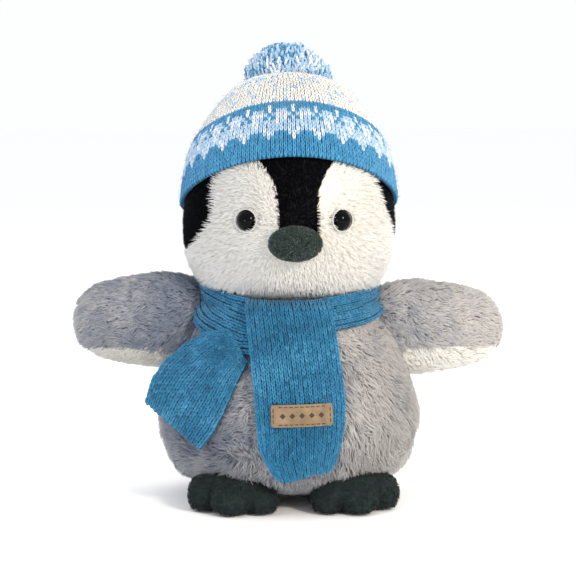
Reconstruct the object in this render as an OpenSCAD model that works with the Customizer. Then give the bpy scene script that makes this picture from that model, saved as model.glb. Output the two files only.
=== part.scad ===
// Plush penguin chick in a knitted beanie and scarf, standing on two padded feet.
// Millimetres, +Z up. The face looks along -Y, and left and right are as seen from the front.
// The origin is the centre of the footprint of the whole toy's box, on the floor.

/* [Torso] */
// Radius of the flat base panel
base_r = 38; // [32:1:44]
// Height of the base panel's outer face above the floor
base_z = 7; // [6:0.5:10]
// Radius of the torso at its widest
belly_r = 73.5; // [60:0.5:90]
// Height of the widest place
belly_z = 44; // [38:1:50]
// Radius at chest height
chest_r = 66; // [56:0.5:78]
// Height of the chest
chest_z = 79; // [74:1:84]
// Radius at the shoulders
shoulder_r = 53; // [48:0.5:60]
// Height of the shoulders
shoulder_z = 108; // [104:1:110]
// Radius of the neck
neck_r = 43; // [38:0.5:47]
// Height of the neck seam
neck_z = 118; // [116:0.5:121]
// Thickness of the fur fabric's backing with its pressed pile
skin_t = 2; // [1.2:0.1:3]

/* [Head] */
// Radius of the head at its widest
head_r = 61.5; // [52:0.5:72]
// Height of the head's widest place
head_z = 159; // [152:1:166]
// Radius of the head's flat underside
chin_r = 38; // [32:0.5:42]
// Height of the top of the head
crown_z = 245; // [225:1:265]
// Distance from the middle of the face to the middle of an eye
eye_x = 26.7; // [20:0.1:32]
// Height of the eyes
eye_z = 165.5; // [158:0.5:175]
// Diameter of an eye's dome
eye_d = 12; // [9:0.5:16]
// Half width of the beak
beak_half_w = 15; // [10:0.5:20]
// Radius of the beak's round section
beak_r = 9.5; // [7:0.5:12]
// Height of the middle of the beak
beak_z = 153; // [148:0.5:158]

/* [Wings] */
// Distance from the middle of the toy to a wing's tip
wing_reach = 123.5; // [115:0.5:150]
// Height of the shoulder line that a wing turns on
wing_z = 101; // [96:0.5:106]
// Half the height of a wing
wing_half_h = 22.5; // [18:0.5:26]
// Radius of the rounded root of a wing
wing_root_r = 16; // [12:0.5:19]
// Half the thickness of a wing
wing_half_t = 16; // [11:0.5:20]
// Depth of the seam between the two wing panels below the shoulder line
wing_seam_drop = 11; // [6:0.5:14]

/* [Feet] */
// Distance from the middle of the toy to the middle of a foot
foot_x = 33; // [28:0.5:40]
// Radius of the heel pad
heel_r = 21; // [17:0.5:24]
// Distance of the heel's centre behind the torso's axis
heel_y = 1; // [-4:0.5:6]
// Distance of the middle toe's centre in front of the torso's axis
toe_reach = 66; // [58:0.5:76]
// Radius of a toe
toe_r = 10.5; // [8:0.25:13]
// Spread of the outer and the inner toe from the middle one
toe_spread = 17; // [14:0.5:20]
// Height of a foot at the ankle
foot_h = 23; // [18:0.5:28]
// Thickness of the sole
sole_t = 2.4; // [1.5:0.1:4]

/* [Beanie] */
// Thickness of the knitted fabric
knit_t = 3.2; // [2:0.1:5]
// Height of the brim at the sides of the head
brim_side_z = 172; // [166:0.5:178]
// Rise of the brim's line for each millimetre towards the face
brim_slope = 0.371; // [0.2:0.005:0.45]
// Radius of the arc that the brim's line follows from front to back
brim_arc_r = 320; // [200:5:600]
// Radius of the pompom
pompom_r = 21; // [16:0.5:26]
// Distance of the pompom behind the head's axis
pompom_y = 25; // [18:0.5:30]
// Height of the beanie's travel when it is pulled off
lift_travel = 110; // [90:1:140]

/* [Scarf] */
// Thickness of the scarf's fabric where it is wound round the neck
wrap_t = 5; // [3:0.5:8]
// Half the height of the wound band
wrap_half_h = 9.5; // [7:0.5:11]
// Height of the middle of the band at the sides of the neck
wrap_z = 117; // [115:0.5:119]
// Drop of the band for each millimetre towards the front
wrap_slope = 0.15; // [0.05:0.01:0.2]
// Radius that the band bridges the neck groove at
collar_r = 49; // [47:0.5:53]
// Width of a tail of the scarf
tail_w = 49; // [40:0.5:54]
// Thickness of a tail
tail_t = 4.4; // [3:0.1:6]
// Height of the front tail's top edge
tail_top_z = 119.5; // [117:0.5:121]
// Height of the front tail's lower end
tail_end_z = 20; // [12:0.5:40]
// Lean of the front tail towards the right
tail_lean = 4; // [0:0.5:8]
// Angle round the torso where the side tail rests on it
side_angle = 27; // [22:0.5:32]
// Height where the side tail rests on the torso
side_z = 66; // [60:0.5:76]
// Radius of the side tail's slight curve
side_curve_r = 300; // [200:5:600]
// Width of the label patch
patch_w = 34.5; // [26:0.5:40]
// Height of the label patch
patch_h = 12.4; // [9:0.1:16]
// Thickness of the label patch
patch_t = 1.2; // [0.8:0.1:2]
// Height of the middle of the patch
patch_z = 58.5; // [50:0.5:70]

/* [Hidden] */
$fn = 96;

// Clearances between pieces, all on the same toy
seam_gap = 0.15;       // between two panels that are sewn edge to edge
fill_gap = 0.3;        // between a skin and the stuffing inside it
neck_gap = 1;          // between the torso and the head, which turns
scarf_gap = 1;         // between the scarf and the fur it lies on
tail_gap = 0.9;        // between the front tail and the band behind it
hat_gap = 0.8;         // between the head and the beanie
root_gap = 2.5;        // between the torso and the root of a wing
patch_gap = 0.1;       // between the patch and the knit
eye_gap = 0.15;        // between an eye's stem and its holes

big = 400;             // larger than the toy, for cutting planes
eps = 0.01;

// A smooth curve through the points p, with n steps between neighbours
function bend(a, b, c, d, t) =
  0.5 * (2 * b + (c - a) * t + (2 * a - 5 * b + 4 * c - d) * t * t + (3 * b - a - 3 * c + d) * t * t * t);
function smooth(p, n) = concat(
  [for (i = [0 : len(p) - 2], k = [0 : n - 1])
    bend(p[max(i - 1, 0)], p[i], p[i + 1], p[min(i + 2, len(p) - 1)], k / n)],
  [p[len(p) - 1]]);
// A table of radius against height for lookup()
function by_height(curve) = [for (p = curve) [p[1], p[0]]];

// Outlines [radius, height] of the torso's and the head's skin
hip_z = base_z + 14;
torso_curve = smooth([[base_r, base_z], [base_r + 19, base_z + 5], [belly_r - 6.5, hip_z],
  [belly_r, belly_z], [chest_r + 5.2, chest_z - 17], [chest_r, chest_z],
  [shoulder_r + 7, shoulder_z - 14], [shoulder_r, shoulder_z], [neck_r, neck_z]], 3);
chin_z = neck_z + neck_gap;
dome_z = head_z + 14;
dome_h = crown_z - dome_z;
head_curve = smooth([[chin_r, chin_z], [head_r - 11.5, chin_z + 5.5], [head_r - 5, head_z - 24],
  [head_r - 1, head_z - 12], [head_r, head_z], [head_r - 1.2, dome_z],
  [0.91 * head_r, dome_z + 0.35 * dome_h], [0.74 * head_r, dome_z + 0.632 * dome_h],
  [0.537 * head_r, dome_z + 0.84 * dome_h], [0.3 * head_r, dome_z + 0.958 * dome_h],
  [eps, crown_z]], 3);
torso_table = by_height(torso_curve);
head_table = by_height(head_curve);
function torso_at(z) = lookup(z, torso_table);
function head_at(z) = lookup(z, head_table);

// The toy's axis stands behind the origin, so that the origin is the middle of the whole box
front_reach = belly_r + 2 + tail_t + patch_gap + patch_t;
axis_y = (front_reach - belly_r) / 2;

// Draws its children round the toy's own axis
module on_axis() {
  translate([0, axis_y, 0]) children();
}

// A solid of revolution whose outline is a curve, closed to the axis, set in by d all round
module turned(curve, d = 0) {
  low = curve[0][1];
  high = curve[len(curve) - 1][1];
  inset = [for (p = curve) [max(p[0] - d, eps), low + d + (p[1] - low) * (high - low - 2 * d) / (high - low)]];
  rotate_extrude()
    polygon(concat([[0, low + d]], inset, [[0, high - d]]));
}

// A half space in front of (side = -1) or behind (side = 1) the seam plane at y
module half_y(y, side) {
  translate([-big / 2, side > 0 ? y : y - big, -big / 2]) cube(big);
}

module torso_outer() {
  turned(torso_curve);
}

// The inside of the torso's skin, which runs out through the neck
module torso_inner(d = skin_t) {
  union() {
    turned(torso_curve, d);
    translate([0, 0, neck_z - 2 * d]) cylinder(r = neck_r - d, h = 3 * d);
  }
}

module torso_skin() {
  difference() {
    torso_outer();
    torso_inner();
  }
}

// The sides of the torso are one front and one back panel, sewn at the flanks
side_seam_y = 6;

module torso_wall() {
  difference() {
    torso_skin();
    cylinder(r = base_r, h = base_z + skin_t + 1);
  }
}

module torso_front_panel() {
  color("#9a96a2") on_axis() intersection() {
    torso_wall();
    half_y(side_seam_y - seam_gap, -1);
  }
}

module torso_back_panel() {
  color("#8f8b98") on_axis() intersection() {
    torso_wall();
    half_y(side_seam_y, 1);
  }
}

module torso_base_panel() {
  color("#a29ca4") on_axis()
    translate([0, 0, base_z]) cylinder(r = base_r - seam_gap, h = skin_t);
}

// A bag of plastic pellets low in the torso keeps the toy on its feet
pellet_r = 44;
pellet_h = 16;
pellet_bag_t = 1;
pellet_lift = 4;       // above the base panel
pellet_z = base_z + skin_t + pellet_lift;

// A flat round bag: a disc whose rim is a half circle, set in by d
module pellet_shape(d = 0) {
  rotate_extrude() union() {
    translate([0, d]) square([pellet_r - pellet_h / 2, pellet_h - 2 * d]);
    intersection() {
      translate([pellet_r - pellet_h / 2, pellet_h / 2]) circle(r = pellet_h / 2 - d);
      translate([pellet_r - pellet_h / 2 - eps, 0]) square(pellet_h);
    }
  }
}

module pellet_bag() {
  color("#e8e4da") on_axis() translate([0, 0, pellet_z]) difference() {
    pellet_shape();
    pellet_shape(pellet_bag_t);
  }
}

module pellet_fill() {
  color("#d8dde0") on_axis() translate([0, 0, pellet_z])
    pellet_shape(pellet_bag_t + fill_gap);
}

module torso_stuffing() {
  color("#f4f4f2") on_axis() difference() {
    turned(torso_curve, skin_t + fill_gap);
    translate([0, 0, pellet_z - fill_gap])
      cylinder(r = pellet_r + fill_gap, h = pellet_h + 2 * fill_gap);
  }
}

// The head: a white face panel with two lobes, set into a black cap panel
lobe_low = [31, 168];
lobe_high = [31, 182];
lobe_low_r = 22;
lobe_high_r = 20;
cheek_arc_r = 120;     // the cheeks' upper edge is an arc of this radius
cheek_top_z = 166;
face_back_y = 12;      // how far behind the axis the white reaches at the sides

module face_outline(grow = 0) {
  for (side = [-1, 1]) {
    translate([side * lobe_low[0], lobe_low[1]]) circle(r = lobe_low_r + grow);
    translate([side * lobe_high[0], lobe_high[1]]) circle(r = lobe_high_r + grow);
  }
  intersection() {
    translate([0, cheek_top_z - cheek_arc_r]) circle(r = cheek_arc_r + grow);
    translate([-big / 2, chin_z - 10]) square([big, cheek_top_z]);
  }
}

module face_region(grow = 0) {
  translate([0, face_back_y + grow, 0]) rotate([90, 0, 0])
    linear_extrude(height = big / 2) face_outline(grow);
}

module head_skin() {
  difference() {
    turned(head_curve);
    turned(head_curve, skin_t);
    translate([0, 0, chin_z - eps]) cylinder(r = chin_r - skin_t, h = 3 * skin_t);
  }
}

// Turns its children to stand on the head's skin at an eye, with +Z outwards
eye_turn = asin(eye_x / head_at(eye_z));

module at_eye(side) {
  translate([0, 0, eye_z]) rotate([0, 0, side * eye_turn]) translate([0, -head_at(eye_z), 0])
    rotate([90, 0, 0]) children();
}

stem_r = 1.9;
stem_l = 9;
washer_r = 6.5;
washer_t = 1.6;
rim_w = 0.8;           // width of the white ring round an eye
dome_rise = 4.2;       // how far the eye stands proud of the skin

module eye_holes() {
  for (side = [-1, 1])
    at_eye(side) translate([0, 0, -stem_l - 3]) cylinder(r = stem_r + eye_gap, h = stem_l + 6);
}

module head_face_panel() {
  color("#f2f0ea") on_axis() difference() {
    intersection() {
      head_skin();
      face_region(-seam_gap);
    }
    eye_holes();
  }
}

module head_cap_panel() {
  color("#0a0c12") on_axis() difference() {
    head_skin();
    face_region();
  }
}

module head_stuffing() {
  color("#f4f4f2") on_axis() difference() {
    turned(head_curve, skin_t + fill_gap);
    for (side = [-1, 1])
      at_eye(side) translate([0, 0, -stem_l - 1]) cylinder(r = washer_r + fill_gap, h = stem_l + 6);
  }
}

// A domed eye on a ribbed stem, locked by a washer behind the skin
module eye_dome(side) {
  dome_r = eye_d / 2;
  ball_r = (dome_r * dome_r + dome_rise * dome_rise) / (2 * dome_rise);
  at_eye(side) {
    intersection() {
      translate([0, 0, dome_rise - ball_r + 0.4]) sphere(r = ball_r);
      translate([0, 0, 0.4]) cylinder(r = dome_r, h = dome_rise + 1);
    }
    translate([0, 0, -stem_l + 0.4]) cylinder(r = stem_r, h = stem_l + 0.6);
  }
}

module eye_rim(side) {
  dome_r = eye_d / 2;
  at_eye(side) translate([0, 0, 0.4]) difference() {
    cylinder(r = dome_r + rim_w, h = 1.1);
    translate([0, 0, -1]) cylinder(r = dome_r + seam_gap, h = 4);
  }
}

module eye_washer(side) {
  at_eye(side) translate([0, 0, -skin_t - washer_t - 1.2]) difference() {
    cylinder(r = washer_r, h = washer_t);
    translate([0, 0, -1]) cylinder(r = stem_r + eye_gap, h = washer_t + 2);
  }
}

module eye_left() {
  color("#08080a") on_axis() eye_dome(-1);
}

module eye_right() {
  color("#08080a") on_axis() eye_dome(1);
}

module eye_left_rim() {
  color("#e6e6e2") on_axis() eye_rim(-1);
}

module eye_right_rim() {
  color("#e6e6e2") on_axis() eye_rim(1);
}

module eye_left_washer() {
  color("#d9d9d6") on_axis() eye_washer(-1);
}

module eye_right_washer() {
  color("#d9d9d6") on_axis() eye_washer(1);
}

// The beak is a short fat spindle lying across the face, sewn on over the skin
beak_out = 5;          // how far the beak's middle stands in front of the skin
beak_skin_t = 1.4;

module beak_shape(d = 0) {
  steps = 12;
  translate([0, -head_at(beak_z) - beak_out, beak_z]) rotate([0, 90, 0]) rotate_extrude()
    polygon([for (i = [0 : steps]) [(beak_r - d) * sin(180 * i / steps), (d - beak_half_w) * cos(180 * i / steps)]]);
}

module beak_cover() {
  color("#39433f") on_axis() difference() {
    beak_shape();
    beak_shape(beak_skin_t);
    turned(head_curve, -scarf_gap / 2);
  }
}

module beak_stuffing() {
  color("#f4f4f2") on_axis() difference() {
    beak_shape(beak_skin_t + fill_gap);
    turned(head_curve, -scarf_gap / 2 - fill_gap);
  }
}

// A wing is a padded flipper, drawn as a round spindle about X and flattened in Y
hinge_x = torso_at(wing_z) + root_gap + wing_root_r;
wing_l = wing_reach - hinge_x;

module wing_shape(side, d = 0) {
  r = wing_root_r - d;
  h = wing_half_h - d;
  l = wing_l - d;
  root = [for (a = [180 : -5 : 125]) [r * sin(a), r * cos(a)]];
  blade = smooth([[r * sin(120), r * cos(120)], [h - 1.5, 10], [h, 0.48 * l], [0.86 * h, 0.76 * l],
    [0.52 * h, 0.94 * l], [eps, l]], 6);
  translate([side * hinge_x, 0, wing_z]) scale([1, (wing_half_t - d) / h, 1]) rotate([0, side * 90, 0])
    rotate_extrude() polygon(concat(root, blade, [[0, l]]));
}

module wing_skin(side) {
  difference() {
    wing_shape(side);
    wing_shape(side, skin_t);
  }
}

module below_wing_seam(gap = 0) {
  translate([-big / 2, -big / 2, wing_z - wing_seam_drop - gap - big]) cube(big);
}

module wing_upper_panel(side) {
  difference() {
    wing_skin(side);
    below_wing_seam();
  }
}

module wing_under_panel(side) {
  intersection() {
    wing_skin(side);
    below_wing_seam(seam_gap);
  }
}

module wing_left_upper_panel() {
  color("#8b8a9c") on_axis() wing_upper_panel(-1);
}

module wing_left_under_panel() {
  color("#e9e7e2") on_axis() wing_under_panel(-1);
}

module wing_left_stuffing() {
  color("#f4f4f2") on_axis() wing_shape(-1, skin_t + fill_gap);
}

module wing_right_upper_panel() {
  color("#8b8a9c") on_axis() wing_upper_panel(1);
}

module wing_right_under_panel() {
  color("#e9e7e2") on_axis() wing_under_panel(1);
}

module wing_right_stuffing() {
  color("#f4f4f2") on_axis() wing_shape(1, skin_t + fill_gap);
}

// A foot: a heel under the torso and three padded toes in front, on a flat sole
foot_skin_t = 1.6;
outer_toe_back = 15;   // how far the outer toe's centre is behind the middle one's
inner_toe_back = 3;
ball_r = 20;           // radius of the pad behind the toes
ball_y = 42;           // its distance in front of the torso's axis
foot_dome_r = 82;      // the top falls from the ankle to the toes as part of a ball
foot_dome_y = -24;

// A straight bar with round ends, from a to b in the plane
module bar(a, b, r) {
  run = b - a;
  translate(a) rotate(atan2(run[1], run[0])) union() {
    translate([0, -r]) square([norm(run), 2 * r]);
    circle(r = r);
    translate([norm(run), 0]) circle(r = r);
  }
}

module foot_outline(d = 0) {
  heel = [-foot_x, heel_y];
  middle = [-foot_x - 3.5, -toe_reach];
  inner = middle + [toe_spread, inner_toe_back];
  outer = middle + [4 - toe_spread, outer_toe_back];
  translate(heel) circle(r = heel_r - d);
  translate([-foot_x, -ball_y]) circle(r = ball_r - d);
  for (toe = [middle, inner, outer])
    bar(heel, toe, toe_r - d);
}

module foot_solid(d = 0, z = 0) {
  difference() {
    intersection() {
      translate([0, 0, z]) linear_extrude(height = foot_h) foot_outline(d);
      translate([-foot_x, foot_dome_y, foot_h - foot_dome_r]) sphere(r = foot_dome_r - d);
    }
    turned(torso_curve, -seam_gap * 2 - d);
  }
}

module foot_left_upper() {
  color("#323c3a") on_axis() difference() {
    foot_solid(0, sole_t + seam_gap);
    foot_solid(foot_skin_t, sole_t - 1);
  }
}

module foot_left_sole() {
  color("#262e2d") on_axis() linear_extrude(height = sole_t) foot_outline();
}

module foot_left_stuffing() {
  color("#f4f4f2") on_axis() foot_solid(foot_skin_t + fill_gap, sole_t + fill_gap);
}

module foot_right_upper() {
  color("#323c3a") mirror([1, 0, 0]) foot_left_upper();
}

module foot_right_sole() {
  color("#262e2d") mirror([1, 0, 0]) foot_left_sole();
}

module foot_right_stuffing() {
  color("#f4f4f2") mirror([1, 0, 0]) foot_left_stuffing();
}

// The beanie is straight-sided below the head's widest place, so that it pulls off upwards
module hat_form(d) {
  wide = [for (p = head_curve) if (p[1] >= head_z) [p[0] + (p[0] > 1 ? d : 0), p[1] + d * (p[1] - head_z) / (crown_z - head_z)]];
  rotate_extrude()
    polygon(concat([[0, chin_z], [wide[0][0], chin_z]], wide, [[0, crown_z + d]]));
}

// Everything above the brim's line, an arc seen from the side
module above_brim() {
  tilt = atan(brim_slope);
  translate([0, brim_arc_r * sin(tilt), brim_side_z + brim_arc_r * cos(tilt)]) rotate([0, 90, 0])
    cylinder(r = brim_arc_r, h = big, center = true, $fn = 180);
}

module beanie_shell() {
  color("#5fb0dd") on_axis() intersection() {
    difference() {
      hat_form(hat_gap + knit_t);
      hat_form(hat_gap);
    }
    above_brim();
  }
}

// The pompom is tied down on the back of the crown, so its underside is pressed flat
pompom_z = crown_z + 1;
tie_r = 1.6;
tie_l = 9;

module pompom_ball() {
  difference() {
    translate([0, pompom_y, pompom_z]) sphere(r = pompom_r);
    hat_form(hat_gap + knit_t + seam_gap);
  }
}

module tie_shape(d = 0) {
  translate([0, pompom_y, pompom_z + 6]) rotate([-28, 0, 0])
    cylinder(r = tie_r + d, h = tie_l + 2 * d, center = true);
}

module pompom() {
  color("#a9cdea") on_axis() difference() {
    pompom_ball();
    tie_shape(fill_gap);
  }
}

module pompom_tie() {
  color("#f0f0f0") on_axis() tie_shape();
}

// The wound band of the scarf follows the shoulders and the cheeks, and bridges the neck groove
function wrap_in(z) = max(torso_at(z) + scarf_gap, head_at(z) + scarf_gap, collar_r);
wrap_low_z = wrap_z - wrap_half_h - wrap_slope * (shoulder_r + 12) - 2;
wrap_high_z = wrap_z + wrap_half_h + wrap_slope * head_r + 2;
wrap_ease = 0.5;       // room for the curve to pass between these heights
wrap_heights = [wrap_low_z, shoulder_z - 7, shoulder_z, shoulder_z + 5, neck_z, chin_z + 6, chin_z + 10,
  chin_z + 15, wrap_high_z];
wrap_curve = smooth([for (z = wrap_heights) [wrap_in(z) + wrap_ease, z]], 2);

// The space between two heights that fall towards the front, cut to a band
module band_slab(low, high) {
  tilt = atan(wrap_slope);
  translate([0, 0, wrap_z]) rotate([tilt, 0, 0])
    translate([-big / 2, -big / 2, low * cos(tilt)]) cube([big, big, (high - low) * cos(tilt)]);
}

module scarf_neck_wrap() {
  last = len(wrap_curve) - 1;
  color("#3a8cc4") on_axis() intersection() {
    rotate_extrude() polygon(concat(
      wrap_curve,
      [for (i = [last : -1 : 0]) [wrap_curve[i][0] + wrap_t, wrap_curve[i][1]]]));
    band_slab(-wrap_half_h, wrap_half_h);
  }
}

// The front tail comes out under the chin, lies over the band and hangs over the belly
function tail_over(z) = wrap_in(z) + wrap_ease + wrap_t + tail_gap;
tail_hang_r = belly_r + 2;
band_front_z = wrap_z - wrap_half_h - wrap_slope * (shoulder_r + 9);
tail_curve = smooth([[tail_hang_r - 1, tail_end_z - 4], [tail_hang_r, belly_z - 4], [tail_hang_r - 0.5, belly_z + 18],
  [chest_r + 6.8, chest_z + 1], [tail_over(band_front_z), band_front_z],
  [tail_over(shoulder_z), shoulder_z], [tail_over(tail_top_z), tail_top_z]], 3);
tail_table = by_height(tail_curve);
function tail_at(z) = lookup(z, tail_table);

// A sheet of thickness t that lies d in front of the tail's inner surface
module tail_sheet(d, t) {
  last = len(tail_curve) - 1;
  rotate_extrude() polygon(concat(
    [for (p = tail_curve) [p[0] + d, p[1]]],
    [for (i = [last : -1 : 0]) [tail_curve[i][0] + d + t, tail_curve[i][1]]]));
}

// A prism along Y in front of the toy, from an outline drawn as the front view shows it
module seen_from_front() {
  rotate([90, 0, 0]) linear_extrude(height = big / 2) children();
}

tail_corner = 9;       // the end's rounded corners
tail_top_x = -4.8;     // middle of the tail's top edge

module tail_outline() {
  length = tail_top_z - tail_end_z;
  translate([tail_top_x, tail_top_z]) rotate(tail_lean) union() {
    translate([-tail_w / 2, -length + tail_corner]) square([tail_w, length - tail_corner + 6]);
    translate([-tail_w / 2 + tail_corner, -length]) square([tail_w - 2 * tail_corner, tail_corner + 1]);
    for (side = [-1, 1])
      translate([side * (tail_w / 2 - tail_corner), -length + tail_corner]) circle(r = tail_corner);
  }
}

module scarf_front_tail() {
  color("#2f7fb8") on_axis() intersection() {
    tail_sheet(0, tail_t);
    seen_from_front() tail_outline();
  }
}

// The side tail leaves the knot under the band and lies over the flank as a nearly flat sheet
side_lean = atan((torso_at(side_z - 3) - torso_at(side_z + 3)) / 6);
side_rest_r = torso_at(side_z) + scarf_gap / cos(side_lean);
side_flat = [-sin(side_angle), -cos(side_angle), 0];
side_out = side_flat * cos(side_lean) + [0, 0, sin(side_lean)];
side_centre = side_flat * side_rest_r + [0, 0, side_z] - side_out * side_curve_r;
side_root_gap = 1.5;   // below the band
side_root_left = [-60, 96];
side_root_right = [-31, 80];

module side_tail_outline() {
  polygon(smooth([side_root_right, [-45, 101], side_root_left, [-73.5, 83], [-81, 70], [-82.5, 59],
    [-58, 38], [-51.5, 38.5], [-41, 54], [-33.5, 71], side_root_right], 2));
}

module scarf_side_tail() {
  color("#3585bd") on_axis() difference() {
    intersection() {
      translate(side_centre) difference() {
        sphere(r = side_curve_r + tail_t, $fn = 180);
        sphere(r = side_curve_r, $fn = 180);
      }
      seen_from_front() side_tail_outline();
      translate([-big / 4, -big / 2, 0]) cube([big / 4, big / 2, big / 2]);
    }
    band_slab(-wrap_half_h - side_root_gap, wrap_half_h);
  }
}

// The label is a tan patch with round corners, sewn to the front tail near its end
patch_x = 3;
patch_corner = 1.6;

module patch_outline(d = 0) {
  w = patch_w / 2 - patch_corner;
  h = patch_h / 2 - patch_corner;
  r = patch_corner - d;
  translate([patch_x, patch_z]) rotate(tail_lean / 3) union() {
    square([2 * w, 2 * (h + r)], center = true);
    square([2 * (w + r), 2 * h], center = true);
    for (i = [-1, 1], j = [-1, 1])
      translate([i * w, j * h]) circle(r = r);
  }
}

module label_patch() {
  color("#b9945f") on_axis() intersection() {
    tail_sheet(tail_t + patch_gap, patch_t);
    seen_from_front() patch_outline();
  }
}

// Running stitches round the patch, each a short raised dash
stitch_l = 2;
stitch_w = 0.5;
stitch_pitch = 3;
stitch_in = 1.3;       // distance from the patch's edge
stitch_rise = 0.25;

module label_stitches() {
  run_w = patch_w - 2 * stitch_in;
  run_h = patch_h - 2 * stitch_in;
  across = floor((run_w - stitch_l) / stitch_pitch / 2);
  up = floor((run_h - stitch_l) / stitch_pitch / 2);
  color("#4a3a28") on_axis() intersection() {
    tail_sheet(tail_t + patch_gap + patch_t + eps, stitch_rise);
    seen_from_front() translate([patch_x, patch_z]) rotate(tail_lean / 3) {
      for (i = [-across : across], side = [-1, 1])
        translate([i * stitch_pitch, side * run_h / 2]) square([stitch_l, stitch_w], center = true);
      for (j = [-up : up], side = [-1, 1])
        translate([side * run_w / 2, j * stitch_pitch]) square([stitch_w, stitch_l], center = true);
    }
  }
}

torso_front_panel();
torso_back_panel();
torso_base_panel();
torso_stuffing();
pellet_bag();
pellet_fill();
foot_left_upper();
foot_left_sole();
foot_left_stuffing();
foot_right_upper();
foot_right_sole();
foot_right_stuffing();
head_face_panel();
head_cap_panel();
head_stuffing();
beak_cover();
beak_stuffing();
eye_left();
eye_left_rim();
eye_left_washer();
eye_right();
eye_right_rim();
eye_right_washer();
wing_left_upper_panel();
wing_left_under_panel();
wing_left_stuffing();
wing_right_upper_panel();
wing_right_under_panel();
wing_right_stuffing();
beanie_shell();
pompom();
pompom_tie();
scarf_neck_wrap();
scarf_front_tail();
scarf_side_tail();
label_patch();
label_stitches();
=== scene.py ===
import math
import bpy
import numpy as np
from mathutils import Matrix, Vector


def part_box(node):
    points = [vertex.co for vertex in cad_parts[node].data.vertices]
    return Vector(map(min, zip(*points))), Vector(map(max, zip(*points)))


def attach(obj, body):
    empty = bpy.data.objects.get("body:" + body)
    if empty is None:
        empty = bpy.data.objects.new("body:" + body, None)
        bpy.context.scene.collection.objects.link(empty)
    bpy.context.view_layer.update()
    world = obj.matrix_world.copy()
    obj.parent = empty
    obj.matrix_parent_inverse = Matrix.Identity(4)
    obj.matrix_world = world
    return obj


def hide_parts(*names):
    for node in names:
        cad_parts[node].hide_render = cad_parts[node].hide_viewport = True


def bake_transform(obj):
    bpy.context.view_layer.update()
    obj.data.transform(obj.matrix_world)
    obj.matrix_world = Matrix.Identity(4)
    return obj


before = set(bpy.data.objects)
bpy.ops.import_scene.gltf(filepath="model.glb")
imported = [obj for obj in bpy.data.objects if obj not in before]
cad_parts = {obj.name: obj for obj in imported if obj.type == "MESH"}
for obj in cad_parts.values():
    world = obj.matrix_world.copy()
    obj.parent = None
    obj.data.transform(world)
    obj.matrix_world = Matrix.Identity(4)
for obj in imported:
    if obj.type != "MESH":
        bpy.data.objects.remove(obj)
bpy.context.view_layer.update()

# ---------------------------------------------------------------- camera, light and floor
# A still-life table: a white floor that runs out of view, soft daylight from the right, a cooler
# fill from the left, and a long lens a little above the middle of the toy.
MM = 0.001
torso_low, torso_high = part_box("torso_stuffing")
AXIS = np.array([(torso_low.x + torso_high.x) / 2, (torso_low.y + torso_high.y) / 2])


def colour(code):
    """An sRGB hex code as linear RGBA."""
    parts = [int(code[i:i + 2], 16) / 255 for i in (1, 3, 5)]
    return [p / 12.92 if p <= 0.04045 else ((p + 0.055) / 1.055) ** 2.4 for p in parts] + [1.0]


def add(material, kind, inputs=(), stops=(), **settings):
    """Adds a node: settings are its properties, inputs its sockets' values or links, stops a ramp's."""
    made = material.node_tree.nodes.new(kind)
    for name, value in settings.items():
        setattr(made, name, value)
    for socket, value in dict(inputs).items():
        if isinstance(value, bpy.types.NodeSocket):
            material.node_tree.links.new(value, made.inputs[socket])
        else:
            made.inputs[socket].default_value = value
    for i, (place, code) in enumerate(stops):
        elements = made.color_ramp.elements
        stop = elements[i] if i < len(elements) else elements.new(place)
        stop.position, stop.color = place, colour(code)
    return made


def finish_of(name, **sockets):
    """A new material and its Principled shader, with these values on the shader's own sockets."""
    material = bpy.data.materials.new(name)
    material.use_nodes = True
    shader = material.node_tree.nodes["Principled BSDF"]
    for socket, value in sockets.items():
        shader.inputs[socket.replace("_", " ")].default_value = value
    return material, shader


def linked(name, data):
    """A new object with this mesh, camera or lamp, in the scene."""
    made = bpy.data.objects.new(name, data)
    bpy.context.scene.collection.objects.link(made)
    return made


camera = linked("camera", bpy.data.cameras.new("camera"))
bpy.context.scene.camera = camera
camera.data.sensor_width, camera.data.lens = 36, 138.2
camera.data.clip_start, camera.data.clip_end = 0.05, 20
LOOK_AT = np.array([-0.6 * MM, AXIS[1], 122 * MM])
turn, rise, DISTANCE = math.radians(-3), math.radians(5.5), 1.3
ahead = np.array([-math.sin(turn) * math.cos(rise), math.cos(turn) * math.cos(rise), -math.sin(rise)])
camera.location = LOOK_AT - ahead * DISTANCE
camera.rotation_mode = "QUATERNION"
camera.rotation_quaternion = Vector(ahead).to_track_quat("-Z", "Y")

for name, place, size, power, tint in [
        ("key", (0.7, -1.2, 0.75), 0.28, 16, "#fff3e4"),
        ("fill", (-0.8, -1.2, 0.15), 0.14, 3, "#e4edff"),
        ("top", (0.0, 0.2, 1.6), 1.4, 2, "#ffffff"),
        ("back_left", (-0.9, 1.2, 0.9), 0.9, 7, "#f4f7ff"),
        ("back_right", (1.0, 1.2, 0.9), 0.9, 9, "#fffaf2")]:
    lamp = linked(name, bpy.data.lights.new(name, "AREA"))
    lamp.data.shape, lamp.data.size, lamp.data.energy = "SQUARE", size, power
    lamp.data.color = colour(tint)[:3]
    lamp.location = place
    lamp.rotation_mode = "QUATERNION"
    lamp.rotation_quaternion = (Vector((0, 0, 0.12)) - Vector(place)).to_track_quat("-Z", "Y")

world = bpy.data.worlds.new("studio")
bpy.context.scene.world = world
world.use_nodes = True
daylight = world.node_tree.nodes["Background"].inputs
daylight["Color"].default_value, daylight["Strength"].default_value = colour("#fbfdff"), 1.02
bpy.context.scene.view_settings.view_transform = "Standard"
bpy.context.scene.view_settings.look = "None"

bpy.ops.object.select_all(action="DESELECT")
bpy.ops.mesh.primitive_plane_add(size=12, location=(0, 3, 0))
floor = bpy.context.object
floor.name = "floor"
bpy.ops.object.transform_apply(location=True, rotation=True, scale=True)
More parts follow.
